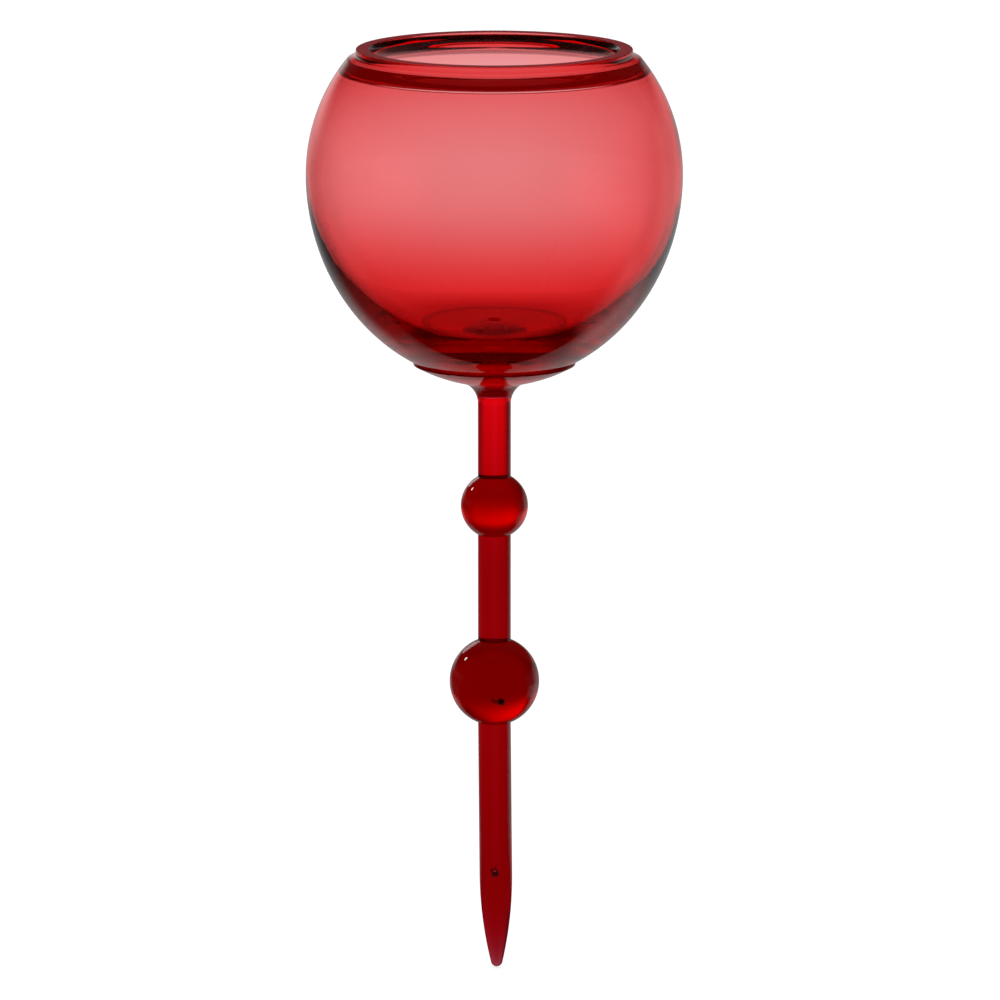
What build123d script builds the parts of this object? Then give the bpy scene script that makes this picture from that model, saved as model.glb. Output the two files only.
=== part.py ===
from build123d import *
import os
from math import acos, cos, degrees, radians, sin, sqrt, tan

# Watering globe: an open glass bowl that stands in the saucer of a glass stake.
# The stake is a row of rods and beads, bonded end to end, with a water way down the middle.
# Millimetres, +Z up. The origin is on the axis at the soil line, under the lower bead.

# Rods and beads of the stake
stem_d = 10.0
bore_d = 1.5
lower_bead_d = 27.3
middle_stem_length = 32.8
upper_bead_d = 20.4
upper_stem_length = 22.5

# Spike, from the soil line down to its rounded tip
spike_length = 77.0
spike_taper = 29.5
tip_r = 1.8

# Drip outlets: round holes from the water way to the front, turned a little to one side
outlet_d = 1.5
outlet_mouth_d = 2.4
outlet_mouth_depth = 0.5
bead_outlet_drop = 3.8
bead_outlet_turn = 9.0
spike_outlet_height = 30.6
spike_outlet_turn = 2.0

# Saucer cup on top of the stake, a shallow dish with a flat lip and a filleted neck
saucer_d = 49.0
saucer_height = 12.2
saucer_curve_r = 50.0
saucer_wall = 2.0
lip_height = 0.6

# Bowl: two half ellipsoids and a low collar outside, a cavity with a flat floor and a thick lip inside
bowl_d = 113.4
bowl_lower_h = 63.0
bowl_upper_h = 56.0
bowl_rim_rise = 38.1
bowl_wall = 1.8
shoulder_wall = 3.6
bowl_floor = 12.4
floor_d = 48.0
floor_corner_r = 30.0
collar_height = 1.4
collar_slope = 1.6
collar_inset = 2.6
collar_root_r = 0.8
rim_width = 4.15
rim_edge_r = 0.4
mouth_edge_r = 1.0
mouth_lip_height = 5.0
mouth_lip_slope = 2.6
mouth_lip_edge_r = 1.5
lip_proud = 0.6

# Spigot under the bowl, and the soft bush that seals it in the saucer's socket
spigot_d = 4.7
spigot_length = 5.3
drain_d = 2.4
drain_mouth = 0.9
bush_wall = 0.95
bush_flange_width = 1.2
bush_flange_t = 1.2
bush_overhang = 0.2

# Clearances
turn_clearance = 0.05
slide_clearance = 0.05
dish_clearance = 0.3
end_clearance = 0.3

stem_r = stem_d / 2
bore_r = bore_d / 2
saucer_r = saucer_d / 2
bowl_r = bowl_d / 2
floor_r = floor_d / 2
drain_r = drain_d / 2
spigot_r = spigot_d / 2


def turned(*outline):
    """A solid turned about Z from a closed outline, drawn with x as radius and y as height."""
    return revolve(Plane.XZ * make_face([edge for part in outline for edge in part.edges()]), Axis.Z)


def half_flat(bead_d):
    """Height from a bead's centre to the flat that is ground on it for the rod."""
    return sqrt((bead_d / 2) ** 2 - stem_r**2)


def rod(bottom, length):
    """A straight capillary rod with flat ends."""
    top = bottom + length
    return turned(
        Polyline((bore_r, bottom), (stem_r, bottom), (stem_r, top), (bore_r, top), close=True)
    )


def bead(bottom, bead_d):
    """A round bead with a flat ground top and bottom, bored through."""
    top = bottom + 2 * half_flat(bead_d)
    belt = (bead_d / 2, (bottom + top) / 2)
    return turned(
        ThreePointArc((stem_r, bottom), belt, (stem_r, top)),
        Polyline((stem_r, top), (bore_r, top), (bore_r, bottom), (stem_r, bottom)),
    )


def outlet(height, turn, face_r):
    """A drip outlet with a flared mouth: the cutter, from the axis to past the face at face_r."""
    front = (sin(radians(turn)), -cos(radians(turn)), 0)
    start = (Align.CENTER, Align.CENTER, Align.MIN)
    hole = Cylinder(outlet_d / 2, face_r, align=start)
    flare = Cone(outlet_d / 2, outlet_mouth_d / 2, outlet_mouth_depth, align=start)
    past = Cylinder(outlet_mouth_d / 2, outlet_mouth_d, align=start)
    cutter = hole + Pos(0, 0, face_r - outlet_mouth_depth) * flare + Pos(0, 0, face_r) * past
    return Plane(origin=(0, 0, height), z_dir=front) * cutter


def ellipse_height(radius, x_radius, y_radius):
    """Height of an ellipse above its centre, at a radius from its axis."""
    return y_radius * sqrt(1 - (radius / x_radius) ** 2)


def ellipse_radius(height, x_radius, y_radius):
    """Radius of an ellipse at a height above or below its centre."""
    return x_radius * sqrt(1 - (height / y_radius) ** 2)


def bulge(centre_z, x_radius, y_radius, from_r, side):
    """The arc of an ellipse from from_r out to its widest point: side is 1 above its centre, -1 below."""
    turn = acos(from_r / x_radius)
    start = (from_r, centre_z + side * y_radius * sin(turn))
    corner = (x_radius, centre_z + side * y_radius * tan(turn / 2))
    return Bezier(start, corner, (x_radius, centre_z), weights=[1, cos(turn / 2), 1])


# Heights of the pieces, one on the other
lower_bead_top = 2 * half_flat(lower_bead_d)
middle_stem_top = lower_bead_top + middle_stem_length
upper_bead_top = middle_stem_top + 2 * half_flat(upper_bead_d)
neck = upper_bead_top + upper_stem_length
lip_bottom = neck + saucer_height
lip_top = lip_bottom + lip_height

# Spike: a shank, an ogive that leaves it smoothly, and a ball tip that the ogive runs into
tip = -spike_length
taper_top = tip + spike_taper
ball = tip + tip_r
ogive_r = (stem_r**2 + (taper_top - ball) ** 2 - tip_r**2) / (2 * (stem_r - tip_r))
ogive_centre = (stem_r - ogive_r, taper_top)
ogive_turn = degrees(acos((ogive_r - stem_r) / (ogive_r - tip_r)))
spike_outlet = tip + spike_outlet_height
bore_end = spike_outlet - outlet_d / 2
point = CenterArc(ogive_centre, ogive_r, -ogive_turn, ogive_turn)
tip_ball = CenterArc((0, ball), tip_r, -90, 90 - ogive_turn)
spike = turned(
    tip_ball,
    point,
    Polyline(
        (stem_r, taper_top), (stem_r, 0), (bore_r, 0), (bore_r, bore_end), (0, bore_end), (0, tip)
    ),
)
spike -= outlet(spike_outlet, spike_outlet_turn, stem_r)

# Beads and rods
bead_outlet = half_flat(lower_bead_d) - bead_outlet_drop
bead_outlet_face = ellipse_radius(bead_outlet_drop, lower_bead_d / 2, lower_bead_d / 2)
lower_bead = bead(0, lower_bead_d) - outlet(bead_outlet, bead_outlet_turn, bead_outlet_face)
middle_stem = rod(lower_bead_top, middle_stem_length)
upper_bead = bead(middle_stem_top, upper_bead_d)
upper_stem = rod(upper_bead_top, upper_stem_length)

# Saucer cup: the underside and the dish are round about one centre, and the neck runs into both
saucer_centre = lip_bottom + sqrt(saucer_curve_r**2 - saucer_r**2)
neck_rise = saucer_centre - neck
neck_fillet_r = (stem_r**2 + neck_rise**2 - saucer_curve_r**2) / (2 * (saucer_curve_r - stem_r))
neck_centre = (stem_r + neck_fillet_r, neck)
fillet_turn = degrees(acos((stem_r + neck_fillet_r) / (saucer_curve_r + neck_fillet_r)))
dish_r = saucer_curve_r - saucer_wall
lip_inner_r = sqrt(dish_r**2 - (saucer_centre - lip_top) ** 2)

bush_inner_r = spigot_r + turn_clearance
bush_r = bush_inner_r + bush_wall
flange_r = bush_r + bush_flange_width
socket_r = bush_r + slide_clearance
recess_r = flange_r + slide_clearance
base_r = dish_r - dish_clearance
seat_r = recess_r + dish_clearance
seat = saucer_centre - sqrt(base_r**2 - seat_r**2)
recess_floor = seat - bush_flange_t
spigot_end = seat - spigot_length
bush_end = spigot_end - bush_overhang
socket_floor = bush_end - end_clearance
recess_top = saucer_centre - sqrt(dish_r**2 - recess_r**2)


def arc_about_saucer(radius, from_r, to_r):
    """An arc of the saucer's curve under its centre, between two radii from the axis."""
    start = degrees(acos(from_r / radius))
    end = degrees(acos(to_r / radius))
    return CenterArc((0, saucer_centre), radius, -start, start - end)


neck_arc = CenterArc(neck_centre, neck_fillet_r, 180, -fillet_turn)
underside_from = saucer_curve_r * cos(radians(fillet_turn))
saucer_cup = turned(
    neck_arc,
    arc_about_saucer(saucer_curve_r, underside_from, saucer_r),
    Polyline((saucer_r, lip_bottom), (saucer_r, lip_top), (lip_inner_r, lip_top)),
    arc_about_saucer(dish_r, recess_r, lip_inner_r),
    Polyline(
        (recess_r, recess_top),
        (recess_r, recess_floor),
        (socket_r, recess_floor),
        (socket_r, socket_floor),
        (bore_r, socket_floor),
        (bore_r, neck),
        (stem_r, neck),
    ),
)

# Bush: a sleeve round the spigot with a flange under the bowl
bowl_bush = turned(
    Polyline(
        (bush_inner_r, bush_end),
        (bush_r, bush_end),
        (bush_r, recess_floor),
        (flange_r, recess_floor),
        (flange_r, seat),
        (bush_inner_r, seat),
        close=True,
    )
)

# Bowl: it stands on the saucer's lip by a flat step, with its round base clear of the dish
step_r = saucer_r - lip_proud
base_inner_r = sqrt(base_r**2 - (saucer_centre - lip_top) ** 2)
widest = lip_top + ellipse_height(step_r, bowl_r, bowl_lower_h)
rim = widest + bowl_rim_rise
shoulder_rise = bowl_rim_rise - collar_height - collar_slope
shoulder_r = ellipse_radius(shoulder_rise, bowl_r, bowl_upper_h)
rim_r = shoulder_r - collar_inset
mouth_r = rim_r - rim_width
cavity_r = bowl_r - bowl_wall
cavity_upper_h = bowl_upper_h - shoulder_wall
mouth_lip_rise = bowl_rim_rise - mouth_lip_height - mouth_lip_slope
mouth_lip_r = ellipse_radius(mouth_lip_rise, cavity_r, cavity_upper_h)
floor = saucer_centre - base_r + bowl_floor
cavity_lower_h = (widest - floor) / sqrt(1 - (floor_r / cavity_r) ** 2)
globe_bowl = turned(
    Polyline((drain_r, spigot_end), (spigot_r, spigot_end), (spigot_r, seat), (seat_r, seat)),
    arc_about_saucer(base_r, seat_r, base_inner_r),
    Line((base_inner_r, lip_top), (step_r, lip_top)),
    bulge(widest, bowl_r, bowl_lower_h, step_r, side=-1),
    bulge(widest, bowl_r, bowl_upper_h, shoulder_r, side=1),
    Polyline(
        (shoulder_r, widest + shoulder_rise),
        (rim_r, rim - collar_height),
        (rim_r, rim),
        (mouth_r, rim),
        (mouth_r, rim - mouth_lip_height),
        (mouth_lip_r, widest + mouth_lip_rise),
    ),
    bulge(widest, cavity_r, cavity_upper_h, mouth_lip_r, side=1),
    bulge(widest, cavity_r, cavity_lower_h, floor_r, side=-1),
    Polyline((floor_r, floor), (drain_r, floor), (drain_r, spigot_end)),
)


def rings(solid, height, radius):
    """The round edges of a solid at one height and radius."""
    circles = solid.edges().filter_by(GeomType.CIRCLE)
    level = [edge for edge in circles if abs(edge.center().Z - height) < 1e-4]
    return [edge for edge in level if abs(edge.radius - radius) < 1e-4]


globe_bowl = fillet(rings(globe_bowl, rim, rim_r), rim_edge_r)
globe_bowl = fillet(rings(globe_bowl, rim - collar_height, rim_r), collar_root_r)
globe_bowl = fillet(rings(globe_bowl, rim, mouth_r), mouth_edge_r)
globe_bowl = fillet(rings(globe_bowl, rim - mouth_lip_height, mouth_r), mouth_lip_edge_r)
globe_bowl = fillet(rings(globe_bowl, floor, floor_r), floor_corner_r)
globe_bowl = chamfer(rings(globe_bowl, floor, drain_r), drain_mouth)

pieces = {
    "globe_bowl": globe_bowl,
    "bowl_bush": bowl_bush,
    "saucer_cup": saucer_cup,
    "upper_stem": upper_stem,
    "upper_bead": upper_bead,
    "middle_stem": middle_stem,
    "lower_bead": lower_bead,
    "spike": spike,
}
os.makedirs("parts", exist_ok=True)
for name, piece in pieces.items():
    export_step(piece, f"parts/{name}.step")
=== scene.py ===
import math

import bmesh
import bpy
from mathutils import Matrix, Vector


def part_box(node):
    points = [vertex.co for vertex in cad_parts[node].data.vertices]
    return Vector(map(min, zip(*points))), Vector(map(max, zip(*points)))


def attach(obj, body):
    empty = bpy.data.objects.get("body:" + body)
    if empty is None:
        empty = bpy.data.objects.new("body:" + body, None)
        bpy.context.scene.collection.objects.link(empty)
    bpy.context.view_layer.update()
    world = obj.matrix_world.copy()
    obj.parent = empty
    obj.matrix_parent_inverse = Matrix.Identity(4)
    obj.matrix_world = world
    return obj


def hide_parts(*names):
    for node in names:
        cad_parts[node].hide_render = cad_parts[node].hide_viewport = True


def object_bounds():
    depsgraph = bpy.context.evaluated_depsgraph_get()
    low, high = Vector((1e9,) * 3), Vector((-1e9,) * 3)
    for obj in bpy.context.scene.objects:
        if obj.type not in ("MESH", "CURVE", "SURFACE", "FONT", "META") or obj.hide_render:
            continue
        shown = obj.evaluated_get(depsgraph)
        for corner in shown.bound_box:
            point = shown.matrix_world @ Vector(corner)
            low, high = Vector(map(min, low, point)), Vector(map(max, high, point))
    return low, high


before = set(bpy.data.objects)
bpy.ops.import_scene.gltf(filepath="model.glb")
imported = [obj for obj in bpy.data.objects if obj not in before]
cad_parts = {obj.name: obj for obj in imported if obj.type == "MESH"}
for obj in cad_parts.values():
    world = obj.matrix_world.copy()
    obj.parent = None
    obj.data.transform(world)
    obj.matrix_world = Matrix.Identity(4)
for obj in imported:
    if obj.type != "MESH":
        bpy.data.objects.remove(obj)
cad_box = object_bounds()
scene = bpy.context.scene
scene.view_settings.view_transform = "Standard"


# Camera: a long lens over two metres away, which looks down on the globe by eleven degrees.
# It aims at the stake, halfway between the ground rim and the tip of the spike.
camera_distance = 2.2725
camera_tilt = math.radians(11.08)
camera_aim = Vector((0.0017, 0.0, 0.0687))
camera = bpy.data.objects.new("camera", bpy.data.cameras.new("camera"))
camera.data.sensor_width = 36.0
camera.data.lens = 270.0
camera.location = camera_aim + camera_distance * Vector((0, -math.cos(camera_tilt), math.sin(camera_tilt)))
camera.rotation_euler = (math.pi / 2 - camera_tilt, 0, 0)
scene.collection.objects.link(camera)
scene.camera = camera

# Light crosses many faces of the glass before it leaves, so the paths are long.
glass_bounces = 64
scene.cycles.max_bounces = glass_bounces
scene.cycles.transmission_bounces = glass_bounces
scene.cycles.glossy_bounces = glass_bounces
scene.cycles.transparent_max_bounces = glass_bounces // 2


# Studio: a white sweep with the glass lit from behind, as glassware is shot. The backdrop is bright, the sides
# and the front are kept dark so that the glass gets dark edges, and three cards and two small lamps set off the
# stake. The floor is white where the camera sees it, and keeps the shadow of the globe.
class Wire:
    """A socket of a shader tree. Python's operators add Math nodes to it, and node() adds any other."""

    def __init__(self, tree, socket=None):
        self.tree = tree
        self.socket = socket

    def node(self, kind, settings, inputs, output=0):
        """A new node, with its settings made first, then a value or a wire put to each named input."""
        made = self.tree.nodes.new("ShaderNode" + kind)
        for name, value in settings.items():
            setattr(made, name, value)
        for name, value in inputs.items():
            if isinstance(value, Wire):
                self.tree.links.new(value.socket, made.inputs[name])
            else:
                made.inputs[name].default_value = value
        return Wire(self.tree, made.outputs[output] if made.outputs else None)

    def math(self, operation, *values):
        return self.node("Math", {"operation": operation}, dict(enumerate(values)))

    def __add__(self, other):
        return self.math("ADD", self, other)

    def __sub__(self, other):
        return self.math("SUBTRACT", self, other)

    def __rsub__(self, other):
        return self.math("SUBTRACT", other, self)

    def __mul__(self, other):
        return self.math("MULTIPLY", self, other)

    def __truediv__(self, other):
        return self.math("DIVIDE", self, other)

    __radd__ = __add__
    __rmul__ = __mul__

    def root(self):
        return self.math("SQRT", self)

    def rise(self, low, high, start=0.0, end=1.0):
        """A value that goes smoothly from start to end while this one goes from low to high."""
        span = {"Value": self, "From Min": low, "From Max": high, "To Min": start, "To Max": end}
        return self.node("MapRange", {"interpolation_type": "SMOOTHSTEP"}, span)

    def along(self, direction):
        """How far this vector reaches along a direction."""
        return self.node("VectorMath", {"operation": "DOT_PRODUCT"}, {0: self, 1: direction}, "Value")


def studio_light(toward):
    """The light that comes from a direction, as it is seen through the glass and mirrored in it."""
    up = toward.along((0, 0, 1))
    level = (1 - up * up).root()
    back = toward.along((0, 1, 0)) / level
    right = toward.along((1, 0, 0)) / level
    left = -1 * right

    # Through the glass: a bright backdrop, dim overhead, underfoot and at the sides, and a soft box to the
    # left and the right.
    overhead = up.rise(0.1, 0.48)
    underfoot = up.rise(-0.75, -0.5, 0.16, 0.95)
    sides = back.rise(0.7, 0.95, 0.35, 1.0) - left.rise(0.25, 0.7, 0.0, 0.25)
    boxes = 1.2 * left.rise(0.55, 1.0) + 0.8 * right.rise(0.55, 1.0)
    boxes = boxes * up.rise(-0.2, 0.15) * up.rise(0.2, 0.6, 1.0, 0.0)
    through = (1 - overhead) * underfoot * sides + 0.26 * overhead + boxes

    # Mirrored in it: the floor behind the globe, which falls off towards its foot and at the flanks, a pale
    # skyline where it meets the backdrop, and a faint wing low on the right.
    begins = (toward.along((0, 1, 0)) + 0.38 * up).rise(-0.02, 0.035)
    left_flank = (right - up.rise(-0.75, -0.6, 0.0, 0.2)).rise(-0.95, -0.65, 0.1, 1.0)
    right_flank = right.rise(0.75, 0.95, 1.0, 0.15)
    falls = up.rise(-0.95, -0.62, 0.14, 0.37) - up.rise(-0.4, -0.2) * left.rise(0.2, 0.6, 0.0, 0.2)
    skyline = up.rise(-0.1, 0.03) * right.rise(-0.1, 0.15, 0.33, -0.1)
    below_top = up.rise(0.04, 0.22, 1.0, 0.06)
    wing_band = up.rise(-0.8, -0.65) * up.rise(-0.45, -0.3, 0.25, 0.0)
    wing = wing_band * right.rise(0.5, 0.85) * back.rise(0.0, 0.3)
    mirrored = begins * left_flank * right_flank * (falls + skyline) * below_top + wing
    return through, mirrored


def light_path(wire, kind):
    """One where the light's path is of this kind, and nought elsewhere."""
    return wire.node("LightPath", {}, {}, "Is " + kind + " Ray")


def studio_glow(wire, toward):
    """The studio's own light for the rays that come out of the glass, or off its outer face."""
    through, mirrored = studio_light(toward)
    out_of_glass = light_path(wire, "Transmission")
    return out_of_glass * through + light_path(wire, "Glossy") * (1 - out_of_glass) * mirrored


room_light = 0.75
world = bpy.data.worlds.new("studio")
world.use_nodes = True
world.node_tree.nodes.clear()
sky = Wire(world.node_tree)
strength = (
    light_path(sky, "Camera")
    + light_path(sky, "Diffuse") * room_light
    + studio_glow(sky, sky.node("TexCoord", {}, {}, "Generated"))
)
background = sky.node("Background", {}, {"Color": (1, 1, 1, 1), "Strength": strength})
sky.node("OutputWorld", {}, {"Surface": background})
scene.world = world


def bare_material(name):
    """A new material with nothing in its shader tree, and a wire to build the tree with."""
    material = bpy.data.materials.new(name)
    material.use_nodes = True
    material.node_tree.nodes.clear()
    return material, Wire(material.node_tree)


def sheet(name, corners, material):
    """A flat sheet of the studio between four corners."""
    mesh = bpy.data.meshes.new(name)
    mesh.from_pydata(corners, [], [(0, 1, 2, 3)])
    mesh.materials.append(material)
    flat = bpy.data.objects.new(name, mesh)
    scene.collection.objects.link(flat)
    return flat


# The floor's paper is white to the camera and dim close to the spike's foot, where the glass looks down on it.
floor_half = 4.0
floor_gap = 0.0003
floor_level = cad_box[0].z - floor_gap
globe_middle = (0.0, 0.0, 0.1)
camera_white = 0.66
foot_glow = 0.27
floor_paper, paper = bare_material("floor_paper")
place = paper.node("NewGeometry", {}, {}, "Position")
offset = paper.node("VectorMath", {"operation": "SUBTRACT"}, {0: place, 1: globe_middle}, "Vector")
toward = paper.node("VectorMath", {"operation": "NORMALIZE"}, {0: offset}, "Vector")
distance = paper.node("VectorMath", {"operation": "LENGTH"}, {0: offset}, "Value")
foot = distance.rise(0.232, 0.283, 1.0, 0.0) * light_path(paper, "Transmission")
glow = light_path(paper, "Camera") * camera_white + studio_glow(paper, toward) * (1 - foot) + foot_glow * foot
shine = paper.node("Emission", {}, {"Strength": glow})
pale = paper.node("BsdfDiffuse", {}, {"Color": (0.62, 0.62, 0.62, 1)})
dark = paper.node("BsdfDiffuse", {}, {"Color": (0, 0, 0, 1)})
direct = light_path(paper, "Camera") + light_path(paper, "Diffuse")
matt = paper.node("MixShader", {}, {0: direct, 1: dark, 2: pale})
both = paper.node("AddShader", {}, {0: shine, 1: matt})
paper.node("OutputMaterial", {}, {"Surface": both})
floor_corners = [(floor_half * x, floor_half * y, floor_level) for x, y in ((-1, -1), (1, -1), (1, 1), (-1, 1))]
sheet("floor", floor_corners, floor_paper)


def upright(left, right, behind, low, high):
    """The corners of a card that stands upright behind the globe."""
    return [(left, behind, low), (right, behind, low), (right, behind, high), (left, behind, high)]


# A low grey card stands close behind the stake and darkens its lower half. Only the glass sees it.
card_distance = 0.11
card_half = 0.6
card_foot = floor_level + 0.0005
card_height = 0.16
card_paper, paper = bare_material("card_paper")
place = paper.node("NewGeometry", {}, {}, "Position")
across = place.along((1, 0, 0))
height = place.along((0, 0, 1))
shade = across.rise(-0.12, -0.03, 0.2, 0.36) * height.rise(-0.09, -0.03, 0.8, 1.0)
grey = paper.node("Emission", {}, {"Strength": shade})
clear = paper.node("BsdfTransparent", {}, {})
solid = height.rise(0.02, 0.1, 1.0, 0.0) * light_path(paper, "Transmission")
paper.node("OutputMaterial", {}, {"Surface": paper.node("MixShader", {}, {0: solid, 1: clear, 2: grey})})
card_corners = upright(-card_half, card_half, card_distance, card_foot, card_foot + card_height)
sheet("grey_card", card_corners, card_paper)


# Two small white cards stand behind on the left and make the beads glow. Each is seen by its own bead alone.
def white_card(name, behind, low, high, strength):
    """A card with soft edges between two heights. Gives back the collection of the pieces that see it."""
    left, right = -0.85 * behind, 0.6 * behind
    fade = 0.5 * (high - low)
    material, paper = bare_material(name)
    place = paper.node("NewGeometry", {}, {}, "Position")
    across = place.along((1, 0, 0))
    height = place.along((0, 0, 1))
    soft = across.rise(left, 0.65 * left) * across.rise(0.6 * left, right, 1.0, 0.0)
    soft = soft * height.rise(low, low + 0.8 * fade) * height.rise(high - fade, high, 1.0, 0.0)
    white = paper.node("Emission", {}, {"Strength": strength * soft * light_path(paper, "Transmission")})
    seen = paper.node("AddShader", {}, {0: paper.node("BsdfTransparent", {}, {}), 1: white})
    paper.node("OutputMaterial", {}, {"Surface": seen})
    seen_by = bpy.data.collections.new(name)
    card = sheet(name, upright(left, right, behind, low, high), material)
    card.light_linking.receiver_collection = seen_by
    return seen_by


lower_glow = white_card("lower_white_card", 0.1, 0.01, 0.13, 1.2)
upper_glow = white_card("upper_white_card", 0.14, 0.03, 0.115, 0.45)

# Two lamps behind on the left light the beads and the spike alone, and aren't seen through the glass. The
# small one sets a bright point on each bead, and the wide one a sheen on the shoulders.
lit_pieces = bpy.data.collections.new("lit_pieces")


def stake_lamp(name, shape, size, energy, distance, degrees_right, height):
    """A lamp at a distance from the globe, turned to the right from the backdrop's side and raised."""
    angle = math.radians(degrees_right)
    lamp = bpy.data.objects.new(name, bpy.data.lights.new(name, "AREA"))
    lamp.data.shape = shape
    lamp.data.size = size
    lamp.data.energy = energy
    lamp.location = distance * Vector((math.sin(angle), math.cos(angle), height)).normalized()
    lamp.rotation_euler = (-lamp.location).to_track_quat("-Z", "Y").to_euler()
    lamp.visible_transmission = False
    lamp.light_linking.receiver_collection = lit_pieces
    scene.collection.objects.link(lamp)


stake_lamp("key_lamp", "SQUARE", 0.14, 0.6, 1.4, -62, 0.6)
stake_lamp("side_lamp", "DISK", 0.36, 0.4, 1.0, -24, 0.42)


# Spike: a straight length of red glass rod, drawn out to a long blunt point in the flame and bored from the
# top. A drip outlet is drilled into its front. It is bonded to the lower bead by its flat top.
spike_low, spike_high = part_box("spike")
stem_r = (spike_high.x - spike_low.x) / 2
bore_r = 0.00075
soil_line = spike_high.z
tip = spike_low.z
tip_r = 0.0018
taper_length = 0.0295
spike_lean = 0.0007
outlet_height = 0.0306
outlet_r = 0.00075
outlet_mouth_r = 0.0012
outlet_mouth_depth = 0.0005
spike_outlet_turn = 2.0
bond_gap = 0.00001
stem_steps = 96
drill_steps = 32


def arc(centre, radius, start, end, count):
    """Points on a circle in the outline, from one angle to another in degrees."""
    angles = [math.radians(start + (end - start) * k / count) for k in range(count + 1)]
    return [(centre[0] + radius * math.cos(a), centre[1] + radius * math.sin(a)) for a in angles]


def line(start, end, count):
    """Points on a straight stretch of the outline."""
    return [tuple(a + (b - a) * k / count for a, b in zip(start, end)) for k in range(count + 1)]


def turned(name, outline, steps, form=None):
    """A piece turned about the axis from a closed outline of radius and height.
    form gives the place of each point from its angle, radius and height, where the piece isn't quite round."""
    mesh = bmesh.new()
    rings = []
    for radius, height in outline:
        ring = []
        for step in range(steps if radius > 1e-7 else 1):
            angle = 2 * math.pi * step / steps
            place = (radius * math.cos(angle), radius * math.sin(angle), height)
            ring.append(mesh.verts.new(form(angle, radius, height) if form else place))
        rings.append(ring)
    for here, there in zip(rings, rings[1:] + rings[:1]):
        for step in range(steps):
            after = (step + 1) % steps
            edge = [here[step % len(here)], here[after % len(here)]]
            opposite = [there[after % len(there)], there[step % len(there)]]
            corners = list(dict.fromkeys(edge + opposite))
            if len(corners) > 2:
                mesh.faces.new(corners)
    bmesh.ops.remove_doubles(mesh, verts=mesh.verts, dist=1e-8)
    bmesh.ops.recalc_face_normals(mesh, faces=mesh.faces)
    data = bpy.data.meshes.new(name)
    mesh.to_mesh(data)
    mesh.free()
    piece = bpy.data.objects.new(name, data)
    scene.collection.objects.link(piece)
    return piece


def smooth(piece, clearness):
    """Smooth glass with crisp corners. clearness gives how far light goes straight on through a face,
    from the face's distance from the axis, its height and its normal, for the material to read."""
    data = piece.data
    data.polygons.foreach_set("use_smooth", [True] * len(data.polygons))
    data.set_sharp_from_angle(angle=math.radians(30))
    values = data.attributes.new("clear", "FLOAT", "FACE")
    for face in data.polygons:
        values.data[face.index].value = clearness(face.center.xy.length, face.center.z, face.normal)
    return piece


def bonded(*flats, play=0.0, bore_low=-1.0):
    """The clearness of a rod or bead: the flats that are bonded at these heights don't show, nor does the wet
    bore. play is how far the bore is off the axis, and bore_low where it ends."""
    def clearness(radius, height, normal):
        at_bond = abs(normal.z) > 0.999 and any(abs(height - flat) < 5 * bond_gap for flat in flats)
        in_bore = radius < 1.01 * bore_r + play and height > bore_low
        return float(at_bond or in_bore)
    return clearness


def red_depth(glass, losses):
    """Glass that is red in the mass. losses are how fast it takes out red, green and blue, per metre."""
    density = 700.0
    colour = (*(1 - loss / density for loss in losses), 1)
    return glass.node("VolumeAbsorption", {}, {"Color": colour, "Density": density})


def red_glass(name, losses, ripple, scuffs):
    """Clear red glass with the faint ripple of fire-polished glass, a thin haze and short upright scuffs.
    Where a flat is bonded the light goes straight on into the next piece."""
    material, glass = bare_material(name)
    place = glass.node("TexCoord", {}, {}, "Object")
    wave = glass.node("TexNoise", {}, {"Vector": place, "Scale": 90.0, "Detail": 2.0}, "Fac")
    haze = glass.node("TexNoise", {}, {"Vector": place, "Scale": 240.0, "Detail": 4.0}, "Fac")
    drawn = glass.node("VectorMath", {"operation": "MULTIPLY"}, {0: place, 1: (1.0, 1.0, 0.16)}, "Vector")
    streak = glass.node("TexNoise", {}, {"Vector": drawn, "Scale": 420.0, "Detail": 2.0}, "Fac")
    scuff = scuffs * streak.rise(0.68, 0.76)
    bump = glass.node("Bump", {}, {"Height": wave + scuff, "Strength": ripple, "Distance": 0.0004})
    body = glass.node(
        "BsdfPrincipled",
        {},
        {
            "Base Color": (1, 1, 1, 1),
            "Roughness": haze.rise(0.55, 0.8, 0.0, 0.03) + scuff,
            "IOR": 1.5,
            "Transmission Weight": 1.0,
            "Normal": bump,
        },
    )
    clear = glass.node("Attribute", {"attribute_name": "clear"}, {}, "Fac")
    straight = glass.node("BsdfTransparent", {}, {})
    face = glass.node("MixShader", {}, {0: clear, 1: body, 2: straight})
    glass.node("OutputMaterial", {}, {"Surface": face, "Volume": red_depth(glass, losses)})
    return material


def ground_glass(name, losses, dark, pale):
    """The same glass where it is ground or drilled: matt, gritty and dim."""
    material, glass = bare_material(name)
    place = glass.node("TexCoord", {}, {}, "Object")
    grit = glass.node("TexNoise", {}, {"Vector": place, "Scale": 2600.0, "Detail": 3.0}, "Fac")
    grains = grit.rise(0.35, 0.65)
    shade = glass.node("Mix", {"data_type": "RGBA"}, {0: grains, 6: dark, 7: pale}, 2)
    bump = glass.node("Bump", {}, {"Height": grit, "Strength": 0.5, "Distance": 0.0001})
    body = glass.node(
        "BsdfPrincipled",
        {},
        {
            "Base Color": shade,
            "Roughness": 0.45 + 0.35 * grains,
            "IOR": 1.25,
            "Specular IOR Level": 0.1,
            "Transmission Weight": 0.72,
            "Normal": bump,
        },
    )
    glass.node("OutputMaterial", {}, {"Surface": body, "Volume": red_depth(glass, losses)})
    return material


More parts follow.
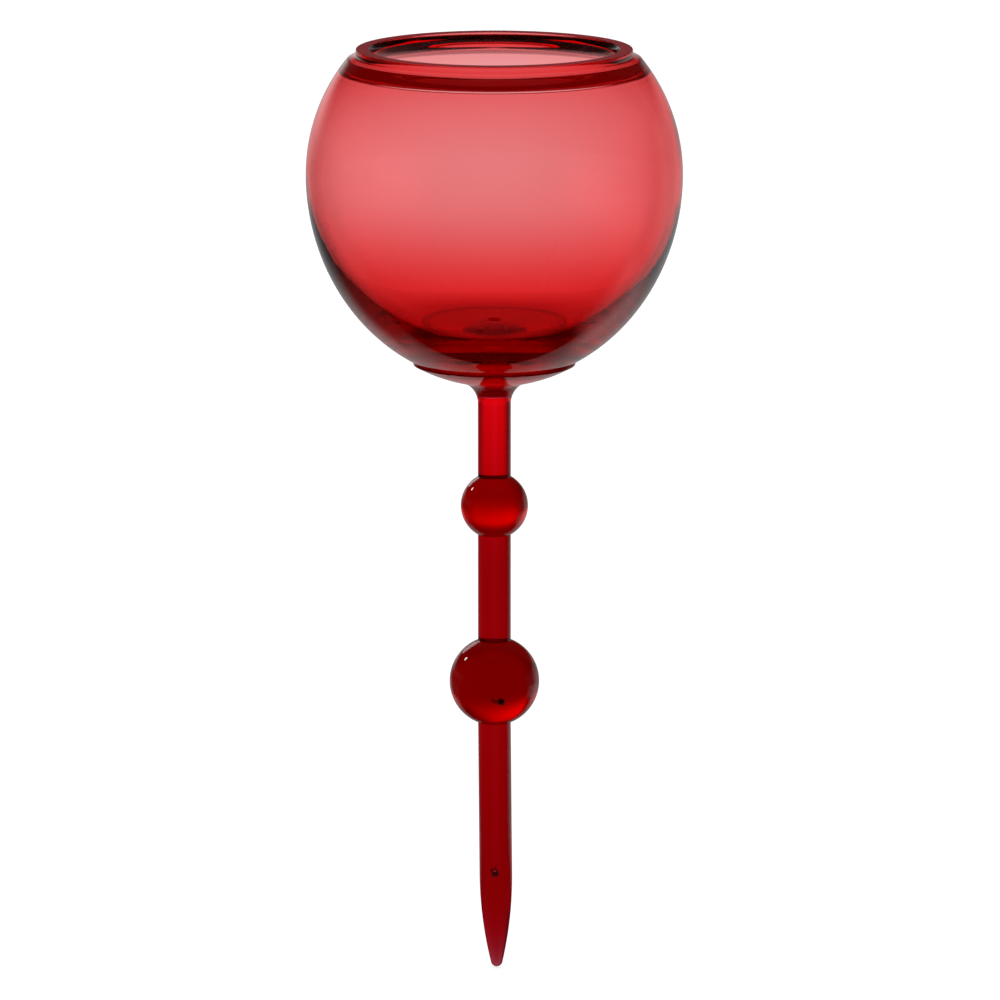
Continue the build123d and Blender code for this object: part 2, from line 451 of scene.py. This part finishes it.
def ground(piece, material, rule):
    """Gives the ground faces of a piece a material of their own."""
    piece.data.materials.append(material)
    for face in piece.data.polygons:
        if rule(face.center):
            face.material_index = len(piece.data.materials) - 1


def drilled(piece, height, turn, face_r):
    """Drills a drip outlet with a flared mouth from the front into the bore. Gives back a rule for its faces."""
    flare_start = face_r - outlet_mouth_depth
    past = face_r + 2 * outlet_mouth_r
    flare = [(outlet_r, flare_start), (outlet_mouth_r, face_r)]
    drill = turned("drill", [(0, 0), (outlet_r, 0)] + flare + [(outlet_mouth_r, past), (0, past)], drill_steps)
    drill.rotation_euler = (math.pi / 2, 0, math.radians(turn))
    drill.location.z = height
    cut = piece.modifiers.new("outlet", "BOOLEAN")
    cut.object = drill
    cut.solver = "EXACT"
    bpy.context.view_layer.update()
    result = bpy.data.meshes.new_from_object(piece.evaluated_get(bpy.context.evaluated_depsgraph_get()))
    piece.modifiers.clear()
    piece.data = result
    to_drill = drill.matrix_world.inverted()
    bpy.data.objects.remove(drill)

    def in_outlet(place):
        inside = to_drill @ place
        return inside.xy.length < 0.99 * outlet_mouth_r and inside.z > bore_r
    return in_outlet


taper_top = tip + taper_length
ball = tip + tip_r
ogive_r = (stem_r**2 + (taper_top - ball) ** 2 - tip_r**2) / (2 * (stem_r - tip_r))
ogive_turn = math.degrees(math.acos((ogive_r - stem_r) / (ogive_r - tip_r)))
outlet = tip + outlet_height
bore_end = outlet - outlet_r
spike_top = soil_line - bond_gap
spike_outline = (
    [(0.0, tip)]
    + arc((0.0, ball), tip_r, -88, -ogive_turn, 14)
    + arc((stem_r - ogive_r, taper_top), ogive_r, -ogive_turn, 0, 40)
    + line((stem_r, taper_top), (stem_r, spike_top), 30)
    + line((stem_r, spike_top), (bore_r, spike_top), 4)
    + line((bore_r, spike_top), (bore_r, bore_end), 20)
    + [(0.0, bore_end)]
)


def leaning(angle, radius, height):
    """The spike isn't quite straight: its point leans to the right."""
    shift = spike_lean * (soil_line - height) / (soil_line - tip)
    return (radius * math.cos(angle) + shift, radius * math.sin(angle), height)


spike = turned("spike_rod", spike_outline, stem_steps, leaning)
in_outlet = drilled(spike, outlet, spike_outlet_turn, stem_r)
smooth(spike, bonded(spike_top, play=spike_lean, bore_low=bore_end - bond_gap))
stake_losses = (24.0, 690.0, 560.0)
stake_glass = red_glass("stake_glass", stake_losses, 0.05, 0.0)
# The drilled outlets' faces are matt, gritty ground glass, given a dark red colour that is painted shade inside
# the holes.
stake_ground_and_hole_shade = ground_glass("stake_ground_and_hole_shade", stake_losses, (0.15, 0.0, 0.0, 1), (0.4, 0.02, 0.02, 1))
spike.data.materials.append(stake_glass)
ground(spike, stake_ground_and_hole_shade, in_outlet)
lit_pieces.objects.link(spike)
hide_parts("spike")
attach(spike, "stake")


# Lower bead: a solid red glass ball, ground flat at top and bottom to the width of the rods and bored through.
# A drip outlet is drilled into its lower front. It is bonded to the rods by its flats.
bead_steps = 128
bead_outlet_drop = 0.0038
bead_outlet_turn = 9.0


def bead_radius(low, high):
    """The radius of the ball whose flats are as wide as the rods, from its height between them."""
    return math.hypot((high.z - low.z) / 2, stem_r)


def bead_outline(low, high):
    flat = math.degrees(math.atan2((high.z - low.z) / 2, stem_r))
    bottom = low.z + bond_gap
    top = high.z - bond_gap
    return (
        arc((0.0, (low.z + high.z) / 2), bead_radius(low, high), -flat, flat, 72)
        + line((stem_r, top), (bore_r, top), 4)
        + line((bore_r, top), (bore_r, bottom), 12)
        + line((bore_r, bottom), (stem_r, bottom), 4)
    )


bead_low, bead_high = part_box("lower_bead")
bead_outlet = (bead_low.z + bead_high.z) / 2 - bead_outlet_drop
bead_face_r = math.sqrt(bead_radius(bead_low, bead_high) ** 2 - bead_outlet_drop**2)
lower_bead = turned("lower_bead_ball", bead_outline(bead_low, bead_high), bead_steps)
in_outlet = drilled(lower_bead, bead_outlet, bead_outlet_turn, bead_face_r)
smooth(lower_bead, bonded(bead_low.z + bond_gap, bead_high.z - bond_gap))
lower_bead.data.materials.append(stake_glass)
# The outlet's faces take the stake's ground glass, whose dark red colour is painted shade inside the hole.
ground(lower_bead, stake_ground_and_hole_shade, in_outlet)
lit_pieces.objects.link(lower_bead)
lower_glow.objects.link(lower_bead)
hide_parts("lower_bead")
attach(lower_bead, "stake")


# Middle and upper stems: cut lengths of the same red glass rod with a capillary bore, flat at both ends,
# bonded between the beads and under the saucer.
def stem(name, node):
    """A cut length of rod in the place of a node."""
    low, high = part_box(node)
    bottom = low.z + bond_gap
    top = high.z - bond_gap
    outline = (
        line((stem_r, bottom), (stem_r, top), 20)
        + line((stem_r, top), (bore_r, top), 4)
        + line((bore_r, top), (bore_r, bottom), 20)
        + line((bore_r, bottom), (stem_r, bottom), 4)
    )
    rod = smooth(turned(name, outline, stem_steps), bonded(bottom, top))
    rod.data.materials.append(stake_glass)
    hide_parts(node)
    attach(rod, "stake")


stem("middle_rod", "middle_stem")
stem("upper_rod", "upper_stem")


# Upper bead: the smaller ball of the two, of the same red glass and ground and bored in the same way, with no
# outlet. It is bonded between the two stems.
bead_low, bead_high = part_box("upper_bead")
upper_bead = turned("upper_bead_ball", bead_outline(bead_low, bead_high), bead_steps)
smooth(upper_bead, bonded(bead_low.z + bond_gap, bead_high.z - bond_gap))
upper_bead.data.materials.append(stake_glass)
lit_pieces.objects.link(upper_bead)
upper_glow.objects.link(upper_bead)
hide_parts("upper_bead")
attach(upper_bead, "stake")


# Saucer cup: a shallow pressed glass dish with a thin flat lip that carries the bowl. Its neck runs down into
# the upper stem, to which it is bonded, and a stepped socket in its middle takes the bush.
saucer_low, saucer_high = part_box("saucer_cup")
bush_low, bush_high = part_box("bowl_bush")
saucer_r = (saucer_high.x - saucer_low.x) / 2
lip_height = 0.0006
lip_round = 0.00012
saucer_curve_r = 0.05
saucer_wall = 0.002
saucer_steps = 160
flange_r = (bush_high.x - bush_low.x) / 2
flange_height = 0.0012
sleeve_r = 0.00335
bush_clearance = 0.00005
end_clearance = 0.0003
lip_proud = 0.0006
wet_film = 0.94
curve_play = 0.0002
lip_top = saucer_high.z
lip_bottom = lip_top - lip_height
neck = saucer_low.z + bond_gap
saucer_centre = lip_bottom + math.sqrt(saucer_curve_r**2 - saucer_r**2)
neck_rise = saucer_centre - saucer_low.z
neck_fillet_r = (stem_r**2 + neck_rise**2 - saucer_curve_r**2) / (2 * (saucer_curve_r - stem_r))
fillet_turn = math.degrees(math.acos((stem_r + neck_fillet_r) / (saucer_curve_r + neck_fillet_r)))
lip_turn = math.degrees(math.acos(saucer_r / saucer_curve_r))
dish_r = saucer_curve_r - saucer_wall
dish_lip = math.sqrt(dish_r**2 - (saucer_centre - lip_top) ** 2)
recess_r = flange_r + bush_clearance
socket_r = sleeve_r + bush_clearance
recess_top = saucer_centre - math.sqrt(dish_r**2 - recess_r**2)
recess_floor = bush_high.z - flange_height
socket_floor = bush_low.z - end_clearance


def angle_under(radius, from_axis):
    """The angle of a point under the saucer's centre, from its arc's radius and its distance from the axis."""
    return -math.degrees(math.acos(from_axis / radius))


saucer_outline = (
    line((bore_r, neck), (stem_r, neck), 4)
    + arc((stem_r + neck_fillet_r, saucer_low.z), neck_fillet_r, 180, 180 - fillet_turn, 24)
    + arc((0.0, saucer_centre), saucer_curve_r, -fillet_turn, -lip_turn, 32)
    + arc((saucer_r - lip_round, lip_bottom + lip_round), lip_round, -60, 0, 4)
    + arc((saucer_r - lip_round, lip_top - lip_round), lip_round, 0, 90, 5)
    + line((saucer_r - lip_round, lip_top), (dish_lip, lip_top), 6)
    + arc((0.0, saucer_centre), dish_r, angle_under(dish_r, dish_lip), angle_under(dish_r, recess_r), 32)
    + line((recess_r, recess_top), (recess_r, recess_floor), 3)
    + line((recess_r, recess_floor), (socket_r, recess_floor), 3)
    + line((socket_r, recess_floor), (socket_r, socket_floor), 8)
    + line((socket_r, socket_floor), (bore_r, socket_floor), 3)
    + line((bore_r, socket_floor), (bore_r, neck), 4)
)


def on_curve(radius, height, curve_r):
    """Whether a face lies on a sphere about the saucer's centre."""
    return abs(math.hypot(radius, saucer_centre - height) - curve_r) < curve_play


def wet_dish(radius, height, normal):
    """Water fills the dish and the socket under the bowl, so that their faces hardly show."""
    in_dish = on_curve(radius, height, dish_r)
    in_socket = bore_r < radius < 1.01 * recess_r and height > socket_floor - bond_gap
    under_bowl = abs(height - lip_top) < bond_gap and radius < saucer_r - lip_proud
    return bonded(neck)(radius, height, normal) or wet_film * float(in_dish or in_socket or under_bowl)


saucer = smooth(turned("saucer_dish", saucer_outline, saucer_steps), wet_dish)
saucer.data.materials.append(stake_glass)
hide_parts("saucer_cup")
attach(saucer, "stake")


# Bush: a moulded sleeve of soft translucent silicone with a flange, which seats the bowl's spigot in the socket
# and keeps the water from running out between them.
bush_inner_r = 0.0024
bush_round = 0.0002
bush_steps = 64
bush_outline = (
    line((bush_inner_r, bush_low.z), (sleeve_r - bush_round, bush_low.z), 3)
    + arc((sleeve_r - bush_round, bush_low.z + bush_round), bush_round, -90, 0, 4)
    + line((sleeve_r, bush_low.z + bush_round), (sleeve_r, recess_floor), 8)
    + line((sleeve_r, recess_floor), (flange_r - bush_round, recess_floor), 3)
    + arc((flange_r - bush_round, recess_floor + bush_round), bush_round, -90, 0, 4)
    + arc((flange_r - bush_round, bush_high.z - bush_round), bush_round, 0, 90, 4)
    + line((flange_r - bush_round, bush_high.z), (bush_inner_r, bush_high.z), 6)
    + line((bush_inner_r, bush_high.z), (bush_inner_r, bush_low.z), 8)
)
silicone, soft = bare_material("clear_silicone")
place = soft.node("TexCoord", {}, {}, "Object")
grain = soft.node("TexNoise", {}, {"Vector": place, "Scale": 3000.0, "Detail": 3.0}, "Fac")
bloom = soft.node("TexNoise", {}, {"Vector": place, "Scale": 400.0, "Detail": 2.0}, "Fac")
skin = soft.node("Bump", {}, {"Height": grain, "Strength": 0.3, "Distance": 0.00002})
flesh = soft.node(
    "BsdfPrincipled",
    {},
    {
        "Base Color": (0.9, 0.9, 0.88, 1),
        "Roughness": bloom.rise(0.3, 0.7, 0.06, 0.18),
        "IOR": 1.41,
        "Transmission Weight": 0.97,
        "Normal": skin,
    },
)
soft.node("OutputMaterial", {}, {"Surface": flesh})
bush = smooth(turned("bush_sleeve", bush_outline, bush_steps), lambda *face: 0.0)
bush.data.materials.append(silicone)
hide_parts("bowl_bush")
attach(bush, "bush")


# Bowl: a blown globe of red glass with a heavy base, thin at the belt, opened at the top and ground flat.
# The mouth has a thick inner lip. A flat step under it stands on the saucer's lip, and a spigot with the drain
# goes down into the bush.
bowl_low, bowl_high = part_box("globe_bowl")
bowl_r = (bowl_high.x - bowl_low.x) / 2
bowl_lower_h = 0.063
bowl_upper_h = 0.056
bowl_rim_rise = 0.0381
bowl_wall = 0.0018
bowl_floor = 0.0124
floor_r = 0.024
floor_corner_r = 0.03
collar_height = 0.0014
collar_slope = 0.0016
collar_inset = 0.0026
rim_width = 0.00415
rim_round = 0.0004
mouth_round = 0.00045
lip_swell = 0.0015
lip_depth = 0.0076
lip_end = 0.01
swell_length = 0.01
belt_swell = 0.0007
belt_above = 0.03
belt_below = 0.035
spigot_r = 0.00235
drain_r = 0.0012
drain_flare = 0.0009
dish_clearance = 0.0003
bowl_steps = 192
ground_depth = 0.0001
outer_skin = 0.001
collar_seam = 0.0004
floor_seam = 0.0008
floor_seam_turn = 1.5
rim = bowl_high.z
widest = rim - bowl_rim_rise
spigot_end = bowl_low.z
seat = bush_high.z
base_r = dish_r - dish_clearance
seat_r = recess_r + dish_clearance
step_r = saucer_r - lip_proud
base_edge_r = math.sqrt(base_r**2 - (saucer_centre - lip_top) ** 2)
cavity_r = bowl_r - bowl_wall
inner_floor = saucer_centre - base_r + bowl_floor
cavity_lower_h = (widest - inner_floor) / math.sqrt(1 - (floor_r / cavity_r) ** 2)


def bulge(across, up, start, end, count):
    """Points on an ellipse about the bowl's widest level, between two heights above or below it."""
    first = math.asin(start / up)
    last = math.asin(end / up)
    angles = [first + (last - first) * k / count for k in range(count + 1)]
    return [(across * math.cos(a), widest + up * math.sin(a)) for a in angles]


def ellipse_radius(across, up, height):
    return across * math.sqrt(1 - (height / up) ** 2)


def through(points, count):
    """A smooth line through points of the outline, which leaves out the first and the last of them."""
    line_points = []
    for near in zip(points, points[1:], points[2:], points[3:]):
        for k in range(count):
            t = k / count
            weights = (-t + 2 * t**2 - t**3, 2 - 5 * t**2 + 3 * t**3, t + 4 * t**2 - 3 * t**3, t**3 - t**2)
            line_points.append(tuple(sum(w * p[axis] for w, p in zip(weights, near)) / 2 for axis in (0, 1)))
    return line_points


def under_rim(*places):
    """Points of the outline from their radius and their depth under the rim, in millimetres."""
    return [(radius / 1000, rim - depth / 1000) for radius, depth in places]


shoulder_rise = bowl_rim_rise - collar_height - collar_slope
rim_r = ellipse_radius(bowl_r, bowl_upper_h, shoulder_rise) - collar_inset
mouth_r = rim_r - rim_width
collar_curve = under_rim(
    (44.9, 4.0), (44.2, 3.05), (43.6, 2.8), (42.7, 2.56), (41.9, 2.33), (41.58, 2.05),
    (41.58, 1.5), (41.58, 0.9), (41.58, 0.4),
)
lip_curve = under_rim(
    (37.46, 0.3), (37.25, 0.6), (36.98, 1.0), (36.75, 1.5), (36.6, 2.1), (36.65, 2.8),
    (36.85, 3.5), (37.2, 4.15), (37.7, 4.7), (38.5, 5.25), (39.8, 5.85), (41.7, 6.55),
    (43.0, 7.05), (43.9, 7.5), (44.61, 8.05), (45.15, 8.75), (46.07, 10.0), (47.14, 11.6),
)


def wall_point(rise):
    """A point of the inner wall above the belt: the wall swells a little towards the lip."""
    swell = lip_swell * math.exp((rise - bowl_rim_rise + lip_depth) / swell_length)
    return (ellipse_radius(bowl_r, bowl_upper_h, rise) - bowl_wall - swell, widest + rise)


wall_top_rise = bowl_rim_rise - lip_end
wall_curve = [wall_point(wall_top_rise * (1 - k / 60)) for k in range(61)]
floor_bend_rise = widest - inner_floor - floor_corner_r
floor_flat_r = math.sqrt((cavity_r - floor_corner_r) ** 2 - floor_bend_rise**2)
floor_bend = math.atan2(floor_bend_rise, floor_flat_r)
bend_start = cavity_r * math.sin(floor_bend) - floor_seam
bend_turn = math.degrees(floor_bend) + floor_seam_turn
bowl_outline = (
    line((drain_r, spigot_end), (spigot_r, spigot_end), 3)
    + line((spigot_r, spigot_end), (spigot_r, seat), 8)
    + line((spigot_r, seat), (seat_r, seat), 4)
    + arc((0.0, saucer_centre), base_r, angle_under(base_r, seat_r), angle_under(base_r, base_edge_r), 30)
    + line((base_edge_r, lip_top), (step_r, lip_top), 4)
    + bulge(bowl_r, bowl_lower_h, lip_top - widest, 0.0, 64)
    + bulge(bowl_r, bowl_upper_h, 0.0, shoulder_rise - collar_seam, 48)
    + through(collar_curve, 5)
    + arc((rim_r - rim_round, rim - rim_round), rim_round, 0, 90, 8)
    + line((rim_r - rim_round, rim), (mouth_r + mouth_round, rim), 8)
    + arc((mouth_r + mouth_round, rim - mouth_round), mouth_round, 90, 160, 8)
    + through(lip_curve, 6)
    + wall_curve
    + bulge(cavity_r, cavity_lower_h, 0.0, -bend_start, 48)
    + arc((floor_flat_r, inner_floor + floor_corner_r), floor_corner_r, -bend_turn, -90, 40)
    + line((floor_flat_r - floor_seam, inner_floor), (drain_r + drain_flare, inner_floor), 14)
    + line((drain_r, inner_floor - drain_flare), (drain_r, spigot_end), 12)
)


def wet_base(radius, height, normal):
    """Water fills the drain and wets the base where it stands in the dish, so that these faces hardly show."""
    in_drain = radius < drain_r + drain_flare
    in_dish = height < lip_top and on_curve(radius, height, base_r)
    in_socket = radius < 1.01 * seat_r and height < seat + bond_gap
    on_lip = abs(height - lip_top) < bond_gap and radius < step_r
    return 1.0 if in_drain else wet_film * float(in_dish or in_socket or on_lip)


def uneven(angle, radius, height):
    """Blown glass isn't even: the wall is a little thicker on the right, round the belt."""
    rise = height - widest
    belt, outer_h = (belt_above, bowl_upper_h) if rise > 0 else (belt_below, bowl_lower_h)
    if abs(rise) < belt and radius < ellipse_radius(bowl_r, outer_h, rise) - outer_skin:
        radius -= belt_swell * max(0.0, math.cos(angle)) ** 2 * math.cos(math.pi / 2 * rise / belt) ** 2
    return (radius * math.cos(angle), radius * math.sin(angle), height)


bowl = smooth(turned("bowl_globe", bowl_outline, bowl_steps, uneven), wet_base)
bowl_losses = (15.0, 380.0, 370.0)
bowl_ground = ground_glass("bowl_ground", bowl_losses, (0.75, 0.03, 0.04, 1), (1.0, 0.12, 0.14, 1))
bowl.data.materials.append(red_glass("bowl_glass", bowl_losses, 0.05, 0.12))
ground(bowl, bowl_ground, lambda place: place.z > rim - ground_depth)
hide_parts("globe_bowl")
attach(bowl, "bowl")
